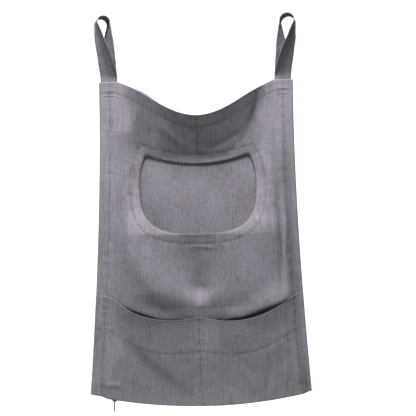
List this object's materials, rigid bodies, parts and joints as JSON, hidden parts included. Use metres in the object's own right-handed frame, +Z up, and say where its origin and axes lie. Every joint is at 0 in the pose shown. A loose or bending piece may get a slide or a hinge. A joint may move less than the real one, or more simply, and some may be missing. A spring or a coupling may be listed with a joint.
{
  "type": "hanging laundry bag",
  "caption": "Cloth laundry bag that hangs flat against a door from two twisted shoulder loops, with a D-shaped hand opening, patch pockets and a bottom zip.",
  "frame": {"origin": "midway between the two hanging loops, at the height where the hooks carry them", "axes": "+Z up, +Y towards the door that the bag hangs against, +X to the right as seen from the front"},
  "size_m": [0.504, 0.0459, 0.8928],
  "materials": {
    "linen": "plain woven linen-look polyester, matt, with long slubs",
    "facing": "the same cloth, wrong side out",
    "thread": "polyester sewing thread",
    "zip_tape": "fine woven herringbone tape",
    "zip_coil": "moulded nylon coil",
    "zip_metal": "dark plated zinc"
  },
  "bodies": {
    "bag": {"front_panel": "linen", "back_panel": "linen", "front_neck_facing": "facing", "back_neck_facing": "facing", "opening_facing": "facing", "yoke_seam": "facing", "front_bottom_hem": "facing", "back_bottom_hem": "facing", "side_seam_left": "facing", "side_seam_right": "facing", "pocket_panel": "linen", "pocket_hem_facing": "facing", "pocket_divider_stitch": "thread", "strap_left_end": "linen", "strap_right_end": "linen", "zip_tape_front": "zip_tape", "zip_tape_back": "zip_tape", "zip_coil_front": "zip_coil", "zip_coil_back": "zip_coil", "zip_top_stop_front": "zip_metal", "zip_top_stop_back": "zip_metal", "zip_bottom_stop": "zip_metal"},
    "left_loop": {"strap_left": "linen"},
    "right_loop": {"strap_right": "linen"},
    "slider": {"zip_slider": "zip_metal"},
    "pull": {"zip_pull": "zip_metal"}
  },
  "joints": [
    {"name": "left_loop_fold", "type": "hinge", "parent": "bag", "child": "left_loop", "pos_m": [-0.198, 0.01805, -0.14095], "axis": [1, 0, 0], "range_deg": [-90, 90]},
    {"name": "right_loop_fold", "type": "hinge", "parent": "bag", "child": "right_loop", "pos_m": [0.198, 0.01805, -0.14095], "axis": [1, 0, 0], "range_deg": [-90, 90]},
    {"name": "zip_travel", "type": "hinge", "parent": "bag", "child": "slider", "pos_m": [0, 0.014, 0.268], "axis": [0, -1, 0], "range_deg": [0, 19.6]},
    {"name": "pull_swing", "type": "hinge", "parent": "slider", "child": "pull", "pos_m": [-0.19773, 0.014, -0.86716], "axis": [0, 1, 0], "range_deg": [-75, 75]}
  ]
}
